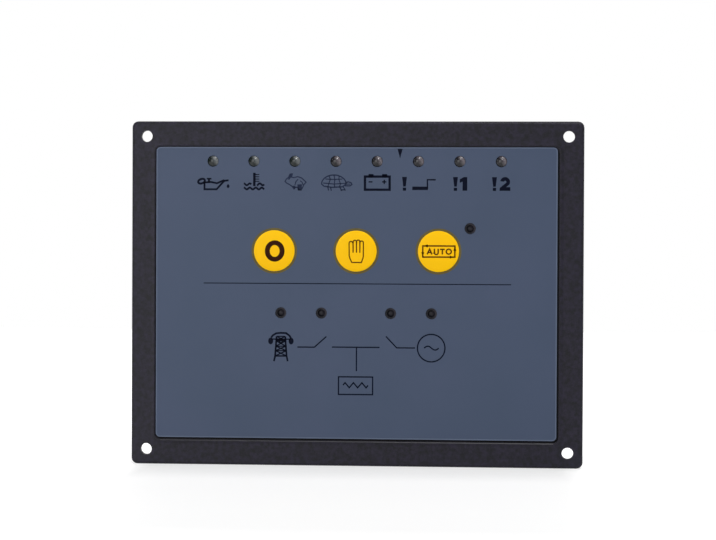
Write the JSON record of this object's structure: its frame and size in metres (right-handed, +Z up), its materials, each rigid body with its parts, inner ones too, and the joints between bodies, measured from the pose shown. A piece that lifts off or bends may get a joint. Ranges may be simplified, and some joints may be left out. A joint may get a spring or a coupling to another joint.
{
  "type": "genset controller",
  "caption": "Panel-mounted generator set controller: flanged moulded housing with a printed facia film, round press keys, indicator lamps, and plug headers and vents behind the panel.",
  "frame": {"origin": "centre of the panel cut-out, in the plane where the rear of the flange seats on the panel", "axes": "+X to the operator's right along the face, +Y from the face into the panel, +Z up the face"},
  "size_m": [0.18, 0.0434, 0.137],
  "materials": {
    "bezel_abs": "fine-grained moulded ABS",
    "facia_film": "matt slate polyester film with yellow keys and dark print",
    "clear_lamp": "unlit tinted epoxy lens",
    "dark_lamp": "unlit dark epoxy lens",
    "switch_housing": "moulded black",
    "switch_plunger": "moulded grey",
    "circuit_board": "green solder mask on glass epoxy",
    "plated_brass": "nickel plated",
    "plated_steel": "zinc plated",
    "relay_case": "moulded blue",
    "header_polyamide": "moulded green polyamide",
    "socket_moulding": "moulded black",
    "chip_package": "moulded epoxy",
    "capacitor_sleeve": "shrunk sleeve over aluminium can",
    "ferrite": "pressed ferrite",
    "suppressor_coating": "dipped blue epoxy"
  },
  "bodies": {
    "housing": {"front_bezel": "bezel_abs", "facia_film": "facia_film", "oil_pressure_lamp": "clear_lamp", "coolant_temperature_lamp": "clear_lamp", "overspeed_lamp": "clear_lamp", "underspeed_lamp": "clear_lamp", "charge_failure_lamp": "clear_lamp", "start_failure_lamp": "clear_lamp", "warning_one_lamp": "clear_lamp", "warning_two_lamp": "clear_lamp", "auto_mode_lamp": "dark_lamp", "mains_available_lamp": "dark_lamp", "mains_on_load_lamp": "dark_lamp", "generator_on_load_lamp": "dark_lamp", "generator_available_lamp": "dark_lamp", "stop_switch": "switch_housing", "manual_switch": "switch_housing", "auto_switch": "switch_housing", "display_board": "circuit_board", "terminal_board": "circuit_board", "front_standoff_top_left": "plated_brass", "front_standoff_top_right": "plated_brass", "front_standoff_bottom_left": "plated_brass", "front_standoff_bottom_right": "plated_brass", "rear_standoff_top_left": "plated_brass", "rear_standoff_top_right": "plated_brass", "rear_standoff_bottom_left": "plated_brass", "rear_standoff_bottom_right": "plated_brass", "cover_screw_top_left": "plated_steel", "cover_screw_top_right": "plated_steel", "cover_screw_bottom_left": "plated_steel", "cover_screw_bottom_right": "plated_steel", "rear_cover": "bezel_abs", "fuel_relay": "relay_case", "start_relay": "relay_case", "auxiliary_relay": "relay_case", "mains_load_relay": "relay_case", "generator_load_relay": "relay_case", "sensing_header": "header_polyamide", "load_header": "header_polyamide", "control_header": "header_polyamide", "data_socket": "socket_moulding", "link_socket": "socket_moulding", "link_pin_strip": "socket_moulding", "controller_chip": "chip_package", "input_capacitor": "capacitor_sleeve", "output_capacitor": "capacitor_sleeve", "supply_inductor": "ferrite", "surge_suppressor": "suppressor_coating"},
    "stop_key": {"stop_plunger": "switch_plunger"},
    "manual_key": {"manual_plunger": "switch_plunger"},
    "auto_key": {"auto_plunger": "switch_plunger"}
  },
  "joints": [
    {"name": "stop_key_press", "type": "slide", "parent": "housing", "child": "stop_key", "axis": [0, 1, 0], "range_m": [0, 0.00025], "stiffness_N_per_m": 5000},
    {"name": "manual_key_press", "type": "slide", "parent": "housing", "child": "manual_key", "axis": [0, 1, 0], "range_m": [0, 0.00025], "stiffness_N_per_m": 5000},
    {"name": "auto_key_press", "type": "slide", "parent": "housing", "child": "auto_key", "axis": [0, 1, 0], "range_m": [0, 0.00025], "stiffness_N_per_m": 5000}
  ]
}
